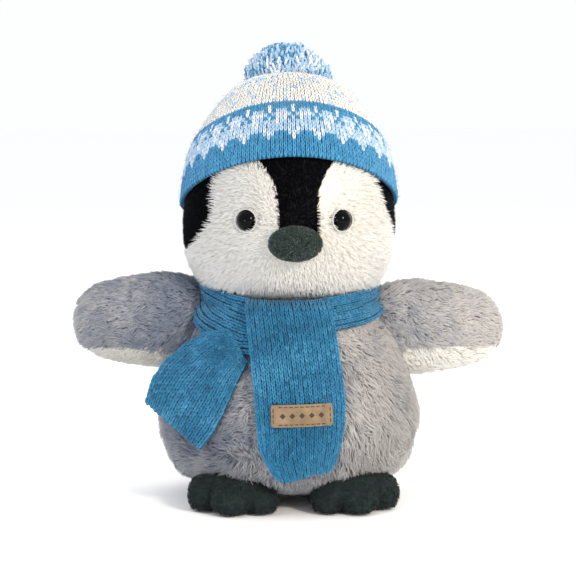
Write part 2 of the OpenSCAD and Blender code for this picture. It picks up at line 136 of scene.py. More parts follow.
# matt white card: it shows only the soft contact shadow
card, card_shader = finish_of("white_card", Roughness=0.9, Base_Color=colour("#fdfdfd"))
floor.data.materials.append(card)

# ---------------------------------------------------------------- torso skin
# A pear-shaped bag of long-pile grey plush, one front and one back panel sewn at the flanks and a
# round base panel, stuffed with fibre. This is the fabric's backing, which the pile grows from.
BACKING = 2.0 * MM


def places_of(piece):
    """The places of a piece's vertices, one row for each."""
    places = np.zeros(len(piece.data.vertices) * 3)
    piece.data.vertices.foreach_get("co", places)
    return places.reshape(-1, 3)


def normals_of(piece):
    """The smooth normals at a piece's vertices, one row for each."""
    normals = np.zeros(len(piece.data.vertices) * 3)
    piece.data.vertex_normals.foreach_get("vector", normals)
    return normals.reshape(-1, 3)


def outline(*nodes):
    """Heights and outer radii of turned nodes about the toy's axis: the outer hull of their profile."""
    co = np.concatenate([places_of(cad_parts[n]) for n in nodes])
    pairs = sorted(set(zip(np.round(co[:, 2], 5), np.round(np.hypot(*(co[:, :2] - AXIS).T), 5))))
    hull = []
    for z, r in pairs:
        while len(hull) > 1 and (hull[-1][1] - hull[-2][1]) * (z - hull[-2][0]) <= \
                (r - hull[-2][1]) * (hull[-1][0] - hull[-2][0]):
            hull.pop()
        if hull and z == hull[-1][0]:
            hull[-1] = (z, max(r, hull[-1][1]))
        else:
            hull.append((z, r))
    return np.array(hull)


def even(profile, steps):
    """The profile (height, radius) with its points an equal distance apart."""
    run = np.concatenate([[0], np.cumsum(np.hypot(*np.diff(profile, axis=0).T))])
    at = np.linspace(0, run[-1], steps)
    return np.stack([np.interp(at, run, profile[:, 0]), np.interp(at, run, profile[:, 1])], 1)


def in_order(piece):
    """Sorts a piece's vertices and faces by place. Extruding leaves them in a different order each run,
    and the fur grows from them in that order."""
    co, old = places_of(piece), piece.data
    order = np.lexsort(np.round(co / (0.001 * MM)).T)
    rank = np.argsort(order)
    faces = []
    for face in old.polygons:
        corners = [int(rank[v]) for v in face.vertices]
        first = corners.index(min(corners))
        faces.append(corners[first:] + corners[:first])
    piece.data = bpy.data.meshes.new(piece.name)
    piece.data.from_pydata(co[order].tolist(), [], sorted(faces))
    bpy.data.meshes.remove(old)


def turned(name, profile, around=96):
    """A closed body of rings about the toy's axis: a disc, extruded upwards one ring at a time."""
    bpy.ops.object.select_all(action="DESELECT")
    z0, r0 = profile[0]
    bpy.ops.mesh.primitive_circle_add(vertices=around, radius=r0, fill_type="NGON",
                                      location=(AXIS[0], AXIS[1], z0), enter_editmode=True)
    bpy.ops.mesh.select_all(action="SELECT")
    for (z_low, r_low), (z, r) in zip(profile, profile[1:]):
        bpy.ops.mesh.extrude_region_move(TRANSFORM_OT_translate={"value": (0, 0, z - z_low)})
        bpy.ops.transform.resize(value=(r / r_low, r / r_low, 1), center_override=(AXIS[0], AXIS[1], z))
    bpy.ops.mesh.select_all(action="SELECT")
    bpy.ops.mesh.normals_make_consistent(inside=False)
    bpy.ops.object.mode_set(mode="OBJECT")
    bpy.ops.object.transform_apply(location=True, rotation=True, scale=True)
    made = bpy.context.object
    made.name = name
    in_order(made)
    bpy.ops.object.shade_smooth()
    return made


def drift(points, wavelength, seed):
    """A smooth random direction at each point, which changes over about one wavelength."""
    rng = np.random.default_rng(seed)
    out = np.zeros_like(points)
    for _ in range(7):
        wave = rng.normal(size=3)
        wave *= 2 * math.pi / wavelength / np.linalg.norm(wave) * rng.uniform(0.6, 1.5)
        out += np.sin(points @ wave + rng.uniform(0, 6.28))[:, None] * rng.normal(size=3)
    return out / 3.2


def noise(material, scale, **more):
    """A noise texture in the object's own coordinates."""
    place = add(material, "ShaderNodeTexCoord")
    return add(material, "ShaderNodeTexNoise", {"Vector": place.outputs["Object"], "Scale": scale, **more})


def ramp(material, value, *stops):
    """The colour of a value between these stops."""
    return add(material, "ShaderNodeValToRGB", {"Fac": value}, stops).outputs["Color"]


def joined(material, output, shader, socket="Base Color"):
    """Feeds an output into one of the shader's sockets."""
    material.node_tree.links.new(output, shader.inputs[socket])


def flecked(name, dark, pale, scale, roughness, pale_at=0.7, **sockets):
    """A finish that varies a little between two tones, in flecks of this scale."""
    material, shader = finish_of(name, Roughness=roughness, **sockets)
    flecks = noise(material, scale).outputs["Fac"]
    joined(material, ramp(material, flecks, (0.3, dark), (pale_at, pale)), shader)
    return material


torso_profile = outline("torso_front_panel", "torso_back_panel", "torso_base_panel")
torso_profile[:, 1] = np.maximum(torso_profile[:, 1] - BACKING, 4 * MM)
torso = turned("torso_skin", even(torso_profile, 34))
# a knitted backing, seen only where the pile parts, so it is matt, and dark as painted shade in the gaps
torso.data.materials.append(flecked("plush_backing_grey", "#7f8087", "#9a9a9e", 900.0, 0.95))
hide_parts("torso_front_panel", "torso_back_panel", "torso_base_panel")
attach(torso, "torso")

# ---------------------------------------------------------------- torso fur
# The pile itself: tufts of soft 10 mm fibre, combed down and outwards from the scarf, that part
# and swirl over the belly. Each tuft is a tapered thread, and neighbours lean together in locks.


def marked(mesh, title, values):
    """Keeps a value at each vertex, for the materials."""
    mesh.attributes.new(title, "FLOAT", "POINT").data.foreach_set("value", np.asarray(values, np.float32))


def tubes(name, path, radius, facing, shade, along, sides=3, pointed=(False, True), flat=1.0, soft=None,
          crisp=0.45):
    """One mesh of many tapered threads: path is (threads, rings, 3), facing a side direction for each.
    Each thread's shade and each ring's place along it are kept as attributes and as a UV map."""
    count, rings = path.shape[:2]
    radius = np.broadcast_to(radius, (count, rings))
    run = np.gradient(path, axis=1)
    run /= np.linalg.norm(run, axis=2, keepdims=True) + 1e-12
    across = np.cross(run, facing[:, None, :])
    across /= np.linalg.norm(across, axis=2, keepdims=True) + 1e-12
    up = np.cross(across, run)
    angle = 2 * np.pi * (np.arange(sides) + 0.5) / sides
    radial = across[:, :, None] * np.cos(angle)[:, None] + up[:, :, None] * np.sin(angle)[:, None] * flat
    ring = path[:, :, None] + radial * radius[:, :, None, None]
    first, last = (1 if pointed[0] else 0), (rings - 1 if pointed[1] else rings)
    parts, normals, place, index, n = [], [], [], [], 0
    for k in range(rings):
        whole = first <= k < last
        parts.append(ring[:, k] if whole else path[:, k:k + 1])
        normals.append(radial[:, k] if whole else run[:, k:k + 1] * (1 if k else -1))
        index.append(list(range(n, n + (sides if whole else 1))))
        place += [along[k]] * len(index[k])
        n += len(index[k])
    faces = []
    for k in range(rings - 1):
        a, b = index[k], index[k + 1]
        for j in range(sides):
            i = (j + 1) % sides
            if len(a) == 1:
                faces.append([a[0], b[j], b[i]])
            elif len(b) == 1:
                faces.append([a[j], b[0], a[i]])
            else:
                faces.append([a[j], b[j], b[i], a[i]])
    if not pointed[0]:
        faces.append(list(index[0]))
    if not pointed[1]:
        faces.append(list(reversed(index[rings - 1])))
    verts = np.concatenate(parts, axis=1).reshape(-1, 3)
    corner = np.concatenate([np.array(f) for f in faces])
    start = np.cumsum([0] + [len(f) for f in faces[:-1]])
    loops_all = (corner[None] + n * np.arange(count)[:, None]).ravel().astype(np.int32)
    starts_all = (start[None] + len(corner) * np.arange(count)[:, None]).ravel().astype(np.int32)
    mesh = bpy.data.meshes.new(name)
    for items, field, values in ((mesh.vertices, "co", verts.ravel().astype(np.float32)),
                                 (mesh.loops, "vertex_index", loops_all),
                                 (mesh.polygons, "loop_start", starts_all)):
        items.add(len(verts) if field == "co" else len(values))
        items.foreach_set(field, values)
    mesh.update(calc_edges=True)
    v_shade = np.repeat(shade, n).astype(np.float32)
    v_along = np.tile(np.array(place), count).astype(np.float32)
    marked(mesh, "shade", v_shade)
    marked(mesh, "along", v_along)
    uv = mesh.uv_layers.new(name="OFBake")
    spread = np.tile(np.arange(n) % sides / sides * 0.02, count)
    flat_uv = np.stack([np.clip(v_shade * 0.94 + 0.02 + spread, 0, 1), v_along * 0.94 + 0.02], 1)[loops_all]
    uv.data.foreach_set("uv", flat_uv.ravel().astype(np.float32))
    mesh.polygons.foreach_set("use_smooth", np.ones(len(starts_all), bool))
    if soft is not None:
        own = np.concatenate(normals, axis=1).reshape(-1, 3)
        own = own * crisp + np.repeat(soft, n, axis=0)
        own /= np.linalg.norm(own, axis=1, keepdims=True) + 1e-12
        mesh.normals_split_custom_set_from_vertices(own)
    return linked(name, mesh)


def scatter(piece, count, seed):
    """Evenly spread points on a piece's surface, with the smooth normal at each."""
    rng = np.random.default_rng(seed)
    mesh = piece.data
    mesh.calc_loop_triangles()
    tri = np.zeros(len(mesh.loop_triangles) * 3, np.int32)
    mesh.loop_triangles.foreach_get("vertices", tri)
    tri = tri.reshape(-1, 3)
    co, no = places_of(piece), normals_of(piece)
    area = np.linalg.norm(np.cross(co[tri[:, 1]] - co[tri[:, 0]], co[tri[:, 2]] - co[tri[:, 0]]), axis=1)
    total = np.cumsum(area)
    pick = np.searchsorted(total, (np.arange(count) + rng.random(count)) / count * total[-1])
    pick = tri[np.minimum(pick, len(tri) - 1)]
    u, v = rng.random(count), rng.random(count)
    over = u + v > 1
    u[over], v[over] = 1 - u[over], 1 - v[over]
    w = np.stack([1 - u - v, u, v], 1)[:, :, None]
    normal = (no[pick] * w).sum(1)
    return (co[pick] * w).sum(1), normal / np.linalg.norm(normal, axis=1, keepdims=True)


def unit(vectors):
    """The vectors at length 1."""
    return vectors / (np.linalg.norm(vectors, axis=-1, keepdims=True) + 1e-12)


def pile(name, roots, normals, comb, length, width, lift, tuft, gather, seed, tone_and_painted_light=0.0, ruffle=0.3,
         press=0.0, crisp=0.45):
    """Fur: a bent thread at each root, combed along comb, that leans with its lock of tuft threads.
    Where press is 1 something lies on it, so it is short and flat."""
    rng = np.random.default_rng(seed)
    count = len(roots)
    comb = unit(comb - normals * (comb * normals).sum(1, keepdims=True))
    comb = unit(comb + ruffle * rng.normal(size=(count, 3)))
    comb = unit(comb - normals * (comb * normals).sum(1, keepdims=True))
    press = np.broadcast_to(press, (count,))[:, None]
    reach = (length * rng.uniform(0.72, 1.18, count))[:, None] * (1 - 0.35 * press)
    low, high = (np.radians(angle + (flat - angle) * press) for angle, flat in zip(lift, (16, 4)))
    middle = roots + 0.45 * reach * (normals * np.sin(low) + comb * np.cos(low))
    tip = middle + 0.55 * reach * (normals * np.sin(high) + comb * np.cos(high))
    locks = rng.choice(count, max(1, count // tuft), replace=False)
    near = np.zeros(count, int)
    for at in range(0, count, 2000):
        gap = ((roots[at:at + 2000, None] - roots[None, locks]) ** 2).sum(2)
        near[at:at + 2000] = gap.argmin(1)
    pull = (rng.uniform(0.4, 1.0, len(locks)) * gather)[near][:, None]
    middle += (middle[locks][near] - middle) * pull * 0.35
    tip += (tip[locks][near] - tip) * pull
    lock_tone, patch_tone = rng.random(len(locks))[near], drift(roots, 45 * MM, seed + 1)[:, 0]
    # the last term shifts the shade value: a tone, plus painted light where a caller makes it change from
    # side to side
    shade = np.clip(0.5 + 0.35 * (lock_tone - 0.5) + 0.3 * (rng.random(count) - 0.5) + 0.1 * patch_tone
                    + tone_and_painted_light, 0.02, 0.98)
    wide = width / 2 * rng.uniform(0.75, 1.25, (count, 1)) * np.array([[1.0, 0.95, 0.3]])
    return tubes(name, np.stack([roots - normals * 0.3 * MM, middle, tip], 1), wide, normals, shade,
                 (0.0, 0.5, 1.0), soft=unit(normals + 0.25 * comb) * 0.9, crisp=crisp)


def kept(material, title):
    """The value that each vertex keeps under this title."""
    return add(material, "ShaderNodeAttribute", attribute_name=title).outputs["Fac"]


def mixed(material, share, first, second, blend="MULTIPLY"):
    """Two colours mixed: by this share, the second multiplies the first or is blended into it."""
    return add(material, "ShaderNodeMix", {0: share, 6: first, 7: second}, data_type="RGBA",
               blend_type=blend).outputs[2]


def plush(name, root, tip, low, high, sheen=0.3, specular=0.25):
    """Plush pile: painted shade at the root, paler and a little shiny at the tip, uneven from lock to lock.
    """
    material, shader = finish_of(name, Roughness=0.8, Specular_IOR_Level=specular, Sheen_Weight=sheen,
                                 Sheen_Roughness=0.4)
    # painted shade: each fibre darkens from its tip down to its root, deep in the pile
    fibre = ramp(material, kept(material, "along"), (0.05, root), (0.75, tip))
    lock = ramp(material, kept(material, "shade"), (0.1, low), (0.9, high))
    joined(material, mixed(material, 1.0, fibre, lock), shader)
    return material


# polyester long pile, with painted shade and painted light: bluish grey where it lies in shade and warm grey
# where the tips catch light
grey_pile = plush("grey_long_pile", "#868a90", "#c6c9ca", "#a0a7b9", "#fdf5f0", 0.25)


def torso_comb(p):
    """Which way the torso's pile is brushed: down, to the sides, and in swirls."""
    down = np.tile([0.0, 0.0, -1.0], (len(p), 1))
    out = np.concatenate([(p[:, :2] - AXIS), np.zeros((len(p), 1))], 1) / 0.07
    side = np.stack([np.sign(p[:, 0]) * np.minimum(np.abs(p[:, 0]) / 0.05, 1), 0 * p[:, 0], 0 * p[:, 0]], 1)
    return down + 0.45 * side + 0.75 * drift(p, 60 * MM, 5) + 0.35 * drift(p, 18 * MM, 6) + 0.1 * out


def pressed(p):
    """Where the scarf lies on the torso: under the band, the front tail and the side tail."""
    x, y, z = p[:, 0] / MM, (p[:, 1] - AXIS[1]) / MM, p[:, 2] / MM
    band = np.clip((z - 101 - 0.15 * y) / 6, 0, 1)
    front = np.clip((26 - np.abs(x)) / 4, 0, 1) * (y < 0) * np.clip((z - 19) / 6, 0, 1)
    slant = np.clip((z - 36 - 0.9 * np.abs(x + 54)) / 6, 0, 1) * (x < -26) * (y < 0) * (z < 104)
    return np.maximum(band, 0.8 * np.maximum(front, slant))


points, normals = scatter(torso, 59000, 11)
rng = np.random.default_rng(12)
seam_y = 6 * MM + AXIS[1]
# the pile starts above the feet, and the back, which is seen less, has a smaller share of it
BASE_BARE, BACK_SHARE = 10.5 * MM, 0.62
grows = (points[:, 2] > BASE_BARE) & ((points[:, 1] < seam_y) | (rng.random(len(points)) < BACK_SHARE))
for name, chosen, seed in [
        ("torso_fur_front_left", (points[:, 1] < seam_y) & (points[:, 0] < 0), 21),
        ("torso_fur_front_right", (points[:, 1] < seam_y) & (points[:, 0] >= 0), 22),
        ("torso_fur_back_left", (points[:, 1] >= seam_y) & (points[:, 0] < 0), 23),
        ("torso_fur_back_right", (points[:, 1] >= seam_y) & (points[:, 0] >= 0), 24)]:
    p, n = points[chosen & grows], normals[chosen & grows]
    length = (10.5 + 1.6 * drift(p, 50 * MM, 3)[:, 0]) * MM * np.clip((p[:, 2] - 5 * MM) / (18 * MM), 0.3, 1)
    # painted light: the shade value rises from left to right, so the left flank's pile is painted bluish and
    # darker, the right's warmer and lighter
    fur = pile(name, p, n, torso_comb(p), length, 0.55 * MM, (48, 19), 22, 0.5, seed, ruffle=0.5,
               tone_and_painted_light=0.12 + 0.3 * np.clip(p[:, 0] / (50 * MM), -1, 1), press=pressed(p))
    fur.data.materials.append(grey_pile)
    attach(fur, "torso")

# ---------------------------------------------------------------- head skin
# A wide round head of short-pile plush: a white face panel with two lobes let into a black cap
# panel, stuffed with fibre. The skin is the backing of both, in white and black.
FACE_BACK = 12
# height, and how far out the black centre stripe reaches there on the left and on the right
STRIPE = np.array([[150, -9, -9], [156, 8.2, 12.6], [163, 8.4, 12.8], [172, 8.6, 12.6], [181, 9.4, 13.2],
                   [190, 13.0, 16.6], [196, 18.5, 20.5], [203, 26, 26.5], [212, 38, 38]])
# the same for the white panel's outer edge, against the black cheeks
CHEEK = np.array([[120, 110, 110], [137, 74, 82], [143, 62, 69], [149, 56, 60.5], [155, 51.5, 57.5],
                  [161, 47.5, 55.5], [167, 45.2, 53.5], [172, 44.6, 52], [181, 44.4, 49], [188, 43.5, 45],
                  [196, 36, 38.5], [206, 26, 29]])


def white_depth(p):
    """How far inside the white panel's edge each point is, in millimetres, negative on the black."""
    x, y, z = p[:, 0] / MM, (p[:, 1] - AXIS[1]) / MM, p[:, 2] / MM
    inner, outer = (np.where(x < 0, np.interp(z, heights, left), np.interp(z, heights, right))
                    for heights, left, right in (STRIPE.T, CHEEK.T))
    return np.minimum(np.minimum(np.abs(x) - inner, outer - np.abs(x)), FACE_BACK - y)


def two_panels(name, piece, inside, dark, pale):
    """The backing of two panels sewn together: pale where inside, in millimetres, is positive."""
    marked(piece.data, "white", np.clip(inside / 3 + 0.5, 0, 1))
    backing, shader = finish_of(name, Roughness=0.95)
    joined(backing, ramp(backing, kept(backing, "white"), (0.45, dark), (0.55, pale)), shader)
    piece.data.materials.append(backing)


head_profile = outline("head_face_panel", "head_cap_panel")
head_outline = head_profile.copy()
head_profile[:, 1] = np.maximum(head_profile[:, 1] - BACKING, 1.5 * MM)
head = turned("head_skin", even(head_profile, 40), 128)
two_panels("plush_backing_head", head, white_depth(places_of(head)), "#07080c", "#d9d6cd")
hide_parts("head_face_panel", "head_cap_panel")
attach(head, "head")

# ---------------------------------------------------------------- face and cap fur
# Dense white pile of 5 mm, brushed outwards from the beak, and a shorter black pile round it. Both
# are sheared, so they stand up more than the torso's, and the black lies flat under the beanie.
beak_low, beak_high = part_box("beak_cover")
BEAK = np.array([0, beak_low.y, (beak_low.z + beak_high.z) / 2])
# the brim's arc: its radius, and how far behind the axis and how high up its centre is
BRIM_R, BRIM_BACK, BRIM_UP = 320 * MM, 111.3 * MM, 473.5 * MM
# the fur starts above the chin's seam, and leaves the eyes and the beak's seat bare
CHIN_SEAM, EYE_BARE, BEAK_BARE = 119.4 * MM, 6.3 * MM, (12.5, 7.5)
white_pile = plush("white_sheared_pile", "#f3f0e9", "#fffefa", "#f1f0ee", "#ffffff", 0.15)
black_pile = plush("black_sheared_pile", "#020307", "#06070d", "#8f93a8", "#ffffff", 0.0, 0.06)

points, normals = scatter(head, 75000, 31)
depth = white_depth(points)
away = points - BEAK


def brim_at(y):
    """Height of the beanie's brim: an arc, low at the back."""
    return BRIM_UP - np.sqrt(BRIM_R ** 2 - (y - AXIS[1] - BRIM_BACK) ** 2)


rng = np.random.default_rng(30)
under_hat = np.clip((points[:, 2] - brim_at(points[:, 1])) / (3 * MM), 0, 1)
grows = (points[:, 2] > CHIN_SEAM) & (rng.random(len(points)) > np.where(depth > 0, 0.75, 0.9) * under_hat)
grows &= (depth > 0) | (points[:, 1] < AXIS[1]) | (rng.random(len(points)) < 0.6)
in_front = points[:, 1] < AXIS[1]
for side in ("left", "right"):
    low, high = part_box(f"eye_{side}")
    apart = np.hypot(points[:, 0] - (low.x + high.x) / 2, points[:, 2] - (low.z + high.z) / 2)
    grows &= ~(in_front & (apart < EYE_BARE))
seat = np.hypot(points[:, 0] / BEAK_BARE[0], (points[:, 2] - BEAK[2]) / BEAK_BARE[1])
grows &= ~(in_front & (seat < MM))
for name, chosen, seed, length, width, finish, lift in [
        ("face_fur_left", (depth > 0) & (points[:, 0] < 0), 32, 5.0, 0.36, white_pile, (72, 50)),
        ("face_fur_right", (depth > 0) & (points[:, 0] >= 0), 34, 5.0, 0.36, white_pile, (72, 50)),
        ("cap_fur", depth <= 0, 33, 4.4, 0.55, black_pile, (62, 34))]:
    chosen = chosen & grows
    p, n = points[chosen], normals[chosen]
    chin = np.clip((132 * MM - p[:, 2]) / (10 * MM), 0, 1)[:, None]
    comb = unit(away[chosen]) + 0.6 * drift(p, 40 * MM, seed) + np.array([0, 0, -0.35]) * (1 + 3 * chin)
    fur = pile(name, p, n, comb, length * MM, width * MM, lift, 9, 0.4, seed, ruffle=0.4,
               press=under_hat[chosen], crisp=0.14)
    fur.data.materials.append(finish)
    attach(fur, "head")

# ---------------------------------------------------------------- beak
# A little fat cushion of charcoal short-pile plush, gathered at both ends and sewn on across the
# face, with fine radiating creases.


def picked_alone(piece):
    """Makes a piece the only one selected, and active."""
    bpy.ops.object.select_all(action="DESELECT")
    piece.select_set(True)
    bpy.context.view_layer.objects.active = piece


def puffed(name, node, grow, voxel, smooth, levels=0):
    """A padded skin: the node's stuffing, merged, remeshed, swollen by grow and smoothed."""
    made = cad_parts[node].copy()
    made.data = made.data.copy()
    made.parent = None
    for key in list(made.keys()):
        del made[key]
    bpy.context.scene.collection.objects.link(made)
    made.name, made.data.name = name, name
    made.hide_render = made.hide_viewport = False
    picked_alone(made)
    made.data.materials.clear()
    bpy.ops.object.mode_set(mode="EDIT")
    bpy.ops.mesh.select_all(action="SELECT")
    bpy.ops.mesh.remove_doubles(threshold=0.00002)
    bpy.ops.object.mode_set(mode="OBJECT")
    remesh = made.modifiers.new("remesh", "REMESH")
    remesh.mode, remesh.voxel_size = "VOXEL", voxel
    swell = made.modifiers.new("swell", "DISPLACE")
    swell.strength, swell.mid_level = grow, 0
    relax = made.modifiers.new("relax", "SMOOTH")
    relax.factor, relax.iterations = 0.6, smooth
    for m in ("remesh", "swell", "relax"):
        bpy.ops.object.modifier_apply(modifier=m)
    if levels:
        made.modifiers.new("round", "SUBSURF").levels = levels
        made.modifiers["round"].render_levels = levels
        bpy.ops.object.modifier_apply(modifier="round")
    for uv in list(made.data.uv_layers):
        made.data.uv_layers.remove(uv)
    bpy.ops.object.shade_smooth()
    return made


def moved(piece, change):
    """Moves a piece's vertices: change takes their places and normals and returns their new places."""
    piece.data.vertices.foreach_set("co", change(places_of(piece), normals_of(piece)).ravel())
    piece.data.update()


def bumped(material, shader, height, strength, distance):
    """Raises the surface a little where height is high."""
    bump = add(material, "ShaderNodeBump", {"Height": height, "Strength": strength, "Distance": distance})
    joined(material, bump.outputs["Normal"], shader, "Normal")


def short_pile(name, dark, pale):
    """Velboa: a 1.5 mm sheared pile on a knit, whose nap darkens and lightens in patches, with fine fuzz."""
    material, shader = finish_of(name, Roughness=0.85, Specular_IOR_Level=0.2, Sheen_Weight=0.3,
                                 Sheen_Roughness=0.35)
    shader.inputs["Sheen Tint"].default_value = colour("#8fa39d")
    nap = noise(material, 120.0, Detail=4.0, Distortion=0.8).outputs["Color"]
    fuzz = noise(material, 1400.0).outputs["Color"]
    both = mixed(material, 0.45, nap, fuzz, "MIX")
    joined(material, ramp(material, both, (0.3, dark), (0.72, pale)), shader)
    bumped(material, shader, both, 0.6, 0.6 * MM)
    return material


beak = puffed("beak_skin", "beak_stuffing", 1.9 * MM, 1.1 * MM, 4, 1)


def wrinkled(co, no):
    """Creases round a dip in the middle of the beak's front."""
    x, z = (co[:, 0] - BEAK[0]) / (15 * MM), (co[:, 2] - BEAK[2] + 2 * MM) / (9 * MM)
    angle, far = np.arctan2(z, x * 0.7), np.hypot(x, z)
    crease = 1.5 * MM * np.sin(angle * 11 + 2 * np.sin(far * 5)) * np.exp(-((far - 0.45) / 0.3) ** 2)
    dip = -1.8 * MM * np.exp(-(far / 0.22) ** 2)
    front = np.clip(-(no[:, 1]), 0, 1)[:, None]
    return co + no * (crease + dip)[:, None] * front


moved(beak, wrinkled)
charcoal = short_pile("charcoal_velboa", "#0d1619", "#27332f")
beak.data.materials.append(charcoal)
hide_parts("beak_cover", "beak_stuffing")
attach(beak, "head")

# painted shade: the short pile's roots are far darker than its tips
beak_pile = plush("charcoal_velboa_pile_pale", "#11191b", "#5c6a65", "#5f6b69", "#ffffff", 0.08)
points, normals = scatter(beak, 5600, 35)
chosen = normals[:, 1] < 0.3
p, n = points[chosen], normals[chosen]
fuzz = pile("beak_pile", p, n, drift(p, 14 * MM, 36) + np.array([0, 0, -0.4]), 1.2 * MM, 0.3 * MM, (60, 35),
            10, 0.7, 37, ruffle=0.6, crisp=0.8)
fuzz.data.materials.append(beak_pile)
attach(fuzz, "head")

# ---------------------------------------------------------------- eyes
# Domed black plastic safety eyes on ribbed stems, each locked by a washer behind the skin, with a
# thin pale ring of bare plastic round the rim. The domes are the toy's own solids.


def painted(node, material):
    """Gives one of the toy's own solids its finish."""
    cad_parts[node].data.materials.clear()
    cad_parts[node].data.materials.append(material)


# injection-moulded ABS, polished: deep black with sharp highlights
gloss = flecked("black_polished_abs", "#010102", "#040406", 300.0, 0.02, 0.8, Specular_IOR_Level=0.1)
# the same plastic left natural: milky white
rim_white = flecked("natural_abs_rim", "#a9aaa6", "#c9c9c4", 500.0, 0.25, 0.8)
for side in ("left", "right"):
    painted(f"eye_{side}", gloss)
    painted(f"eye_{side}_rim", rim_white)

# ---------------------------------------------------------------- wings
# Two padded flippers, grey long-pile plush on top and short white plush below, sewn to the flanks
# at the shoulder.
under_pile = plush("white_wing_pile", "#d8d6cf", "#f7f5ee", "#e9e8e5", "#ffffff", 0.2)
SEAM_Z = 90 * MM
WING_Z, ROOT_X = 101 * MM, 79 * MM
for side, sign, rise in (("left", -1, 2.2), ("right", 1, -2.6)):
    skin = puffed(f"wing_{side}_skin", f"wing_{side}_stuffing", 1.6 * MM, 2.4 * MM, 6)
    places = places_of(skin)
    step = np.round(np.abs(places[:, 0]) / (2 * MM)).astype(int)
    half_at = np.array([np.abs(places[step == k, 2] - WING_Z).max() if (step == k).any() else 1e-4
                        for k in range(step.max() + 2)])

    def shouldered(co, no):
        """Draws the root inwards, full and deep, under the band and into the flank."""
        out, far = co.copy(), np.abs(co[:, 0])
        half = np.interp(far / (2 * MM), np.arange(len(half_at)), half_at)
        drawn = np.where(far < ROOT_X, ROOT_X - (ROOT_X - far) * 1.8, far)
        wanted = np.interp(drawn / MM, [44, 48, 54, 60, 70], [9, 16, 21.5, 24, 25]) * MM
        ease = np.clip((104 * MM - far) / (26 * MM), 0, 1)
        grow = 1 + (np.clip(wanted / np.maximum(half, 3 * MM), 1, 2.6) - 1) * ease * ease * (3 - 2 * ease)
        out[:, 0] = np.sign(co[:, 0]) * drawn
        out[:, 1] = AXIS[1] + (co[:, 1] - AXIS[1]) * np.minimum(grow, 1.3)
        out[:, 2] = WING_Z + (co[:, 2] - WING_Z) * grow + rise * MM
        return out

    moved(skin, shouldered)
    below = (SEAM_Z - places_of(skin)[:, 2]) / MM
    two_panels(f"plush_backing_wing_{side}", skin, below, "#83848c", "#cfccc2")
    points, normals = scatter(skin, 17500, 41 + sign)
    inner = np.abs(points[:, 0]) > 52 * MM
    made = []
    for name, chosen, finish, length, width, lift, seed in [
            (f"wing_{side}_fur", (points[:, 2] >= SEAM_Z) & inner, grey_pile, 8.0, 0.7, (50, 16), 43),
            (f"wing_{side}_under_fur", (points[:, 2] < SEAM_Z) & inner, under_pile, 4.8, 0.5, (60, 26), 44)]:
        p, n = points[chosen], normals[chosen]
        comb = np.tile([sign * 1.0, 0, -0.25], (len(p), 1)) + 0.6 * drift(p, 35 * MM, seed)
        tip_pale = 0.5 * np.clip((np.abs(p[:, 0]) - 70 * MM) / (50 * MM), 0, 1) - 0.3
        # painted light: the right wing's pile is painted lighter and the left wing's darker
        fur = pile(name, p, n, comb, length * MM, width * MM, lift, 20, 0.5, seed + sign, ruffle=0.5,
                   tone_and_painted_light=0.12 + 0.26 * sign + tip_pale)
        fur.data.materials.append(finish)
        made.append(fur)
    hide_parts(f"wing_{side}_upper_panel", f"wing_{side}_under_panel", f"wing_{side}_stuffing")
    for piece in [skin] + made:
        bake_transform(piece)

# ---------------------------------------------------------------- feet
# Flat padded feet of charcoal short-pile plush with three toes, sewn to the base in front, with a
# seam round the sole and creases pulled in between the toes.
SOLE_SEAM = 3.0 * MM
# each gap between two toes, from its front end to its back end: x outwards from the foot's middle, and y
TOE_GAPS = ((-9, -76, -2, -44), (11, -70, 7, -42))
charcoal_pile = plush("charcoal_velboa_pile", "#080f12", "#1c282b", "#7d8987", "#ffffff", 0.08)
for side, sign in (("left", -1), ("right", 1)):
    foot = puffed(f"foot_{side}_skin", f"foot_{side}_stuffing", 1.9 * MM, 1.4 * MM, 8)
    centre_x = sign * 33 * MM

    def creased(co, no):
        """Pulls in the gaps between the toes and the seam round the sole, and raises the toes."""
        x = (co[:, 0] - centre_x) * sign
        y = co[:, 1] - AXIS[1]
        out = co.copy()
        for x0, y0, x1, y1 in TOE_GAPS:
            along = np.clip((y / MM - y0) / (y1 - y0), 0, 1)
            gap = (x / MM - (x0 + (x1 - x0) * along)) / 2.0
            front = np.clip((-46 - y / MM) / 12, 0, 1)
            low_down = np.clip((13 - co[:, 2] / MM) / 6, 0, 1)
            out -= no * (1.2 * MM * np.exp(-gap ** 2) * front * low_down)[:, None]
        ring = np.exp(-((co[:, 2] - SOLE_SEAM) / (0.9 * MM)) ** 2)
        out -= no * (0.8 * MM * ring)[:, None] * (np.abs(no[:, 2:3]) < 0.8)
        out[:, 2] *= 1 + 0.42 * np.clip((-40 - y / MM) / 22, 0, 1)
        out[:, 2] = np.maximum(out[:, 2], 0.0)
        return out

    moved(foot, creased)
    foot.data.materials.append(charcoal)
    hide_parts(f"foot_{side}_upper", f"foot_{side}_sole", f"foot_{side}_stuffing")
    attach(foot, "torso")
    points, normals = scatter(foot, 8000, 47 + sign)
    chosen = (points[:, 2] > 1.5 * MM) & (points[:, 1] < AXIS[1] + 5 * MM)
    p, n = points[chosen], normals[chosen]
    fuzz = pile(f"foot_{side}_pile", p, n, drift(p, 25 * MM, 48) + np.array([0, -0.5, -0.3]), 1.7 * MM,
                0.4 * MM, (58, 32), 10, 0.5, 49 + sign, ruffle=0.5)
    fuzz.data.materials.append(charcoal_pile)
    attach(fuzz, "torso")

# ---------------------------------------------------------------- beanie
# A stocking-stitch beanie of brushed acrylic yarn, knitted in the round: a sky-blue brim with a
# snow pattern of white and pale blue stitches, and an oatmeal-white crown drawn in at the top.
BRIM_WALES, WALE, ROW = 168, 2.4 * MM, 2.5 * MM
TILT = math.radians(19)
# how often a search along a line is halved
HALVINGS = 24
YARN = 1.7 * MM
PLY_SCALE = 2600.0
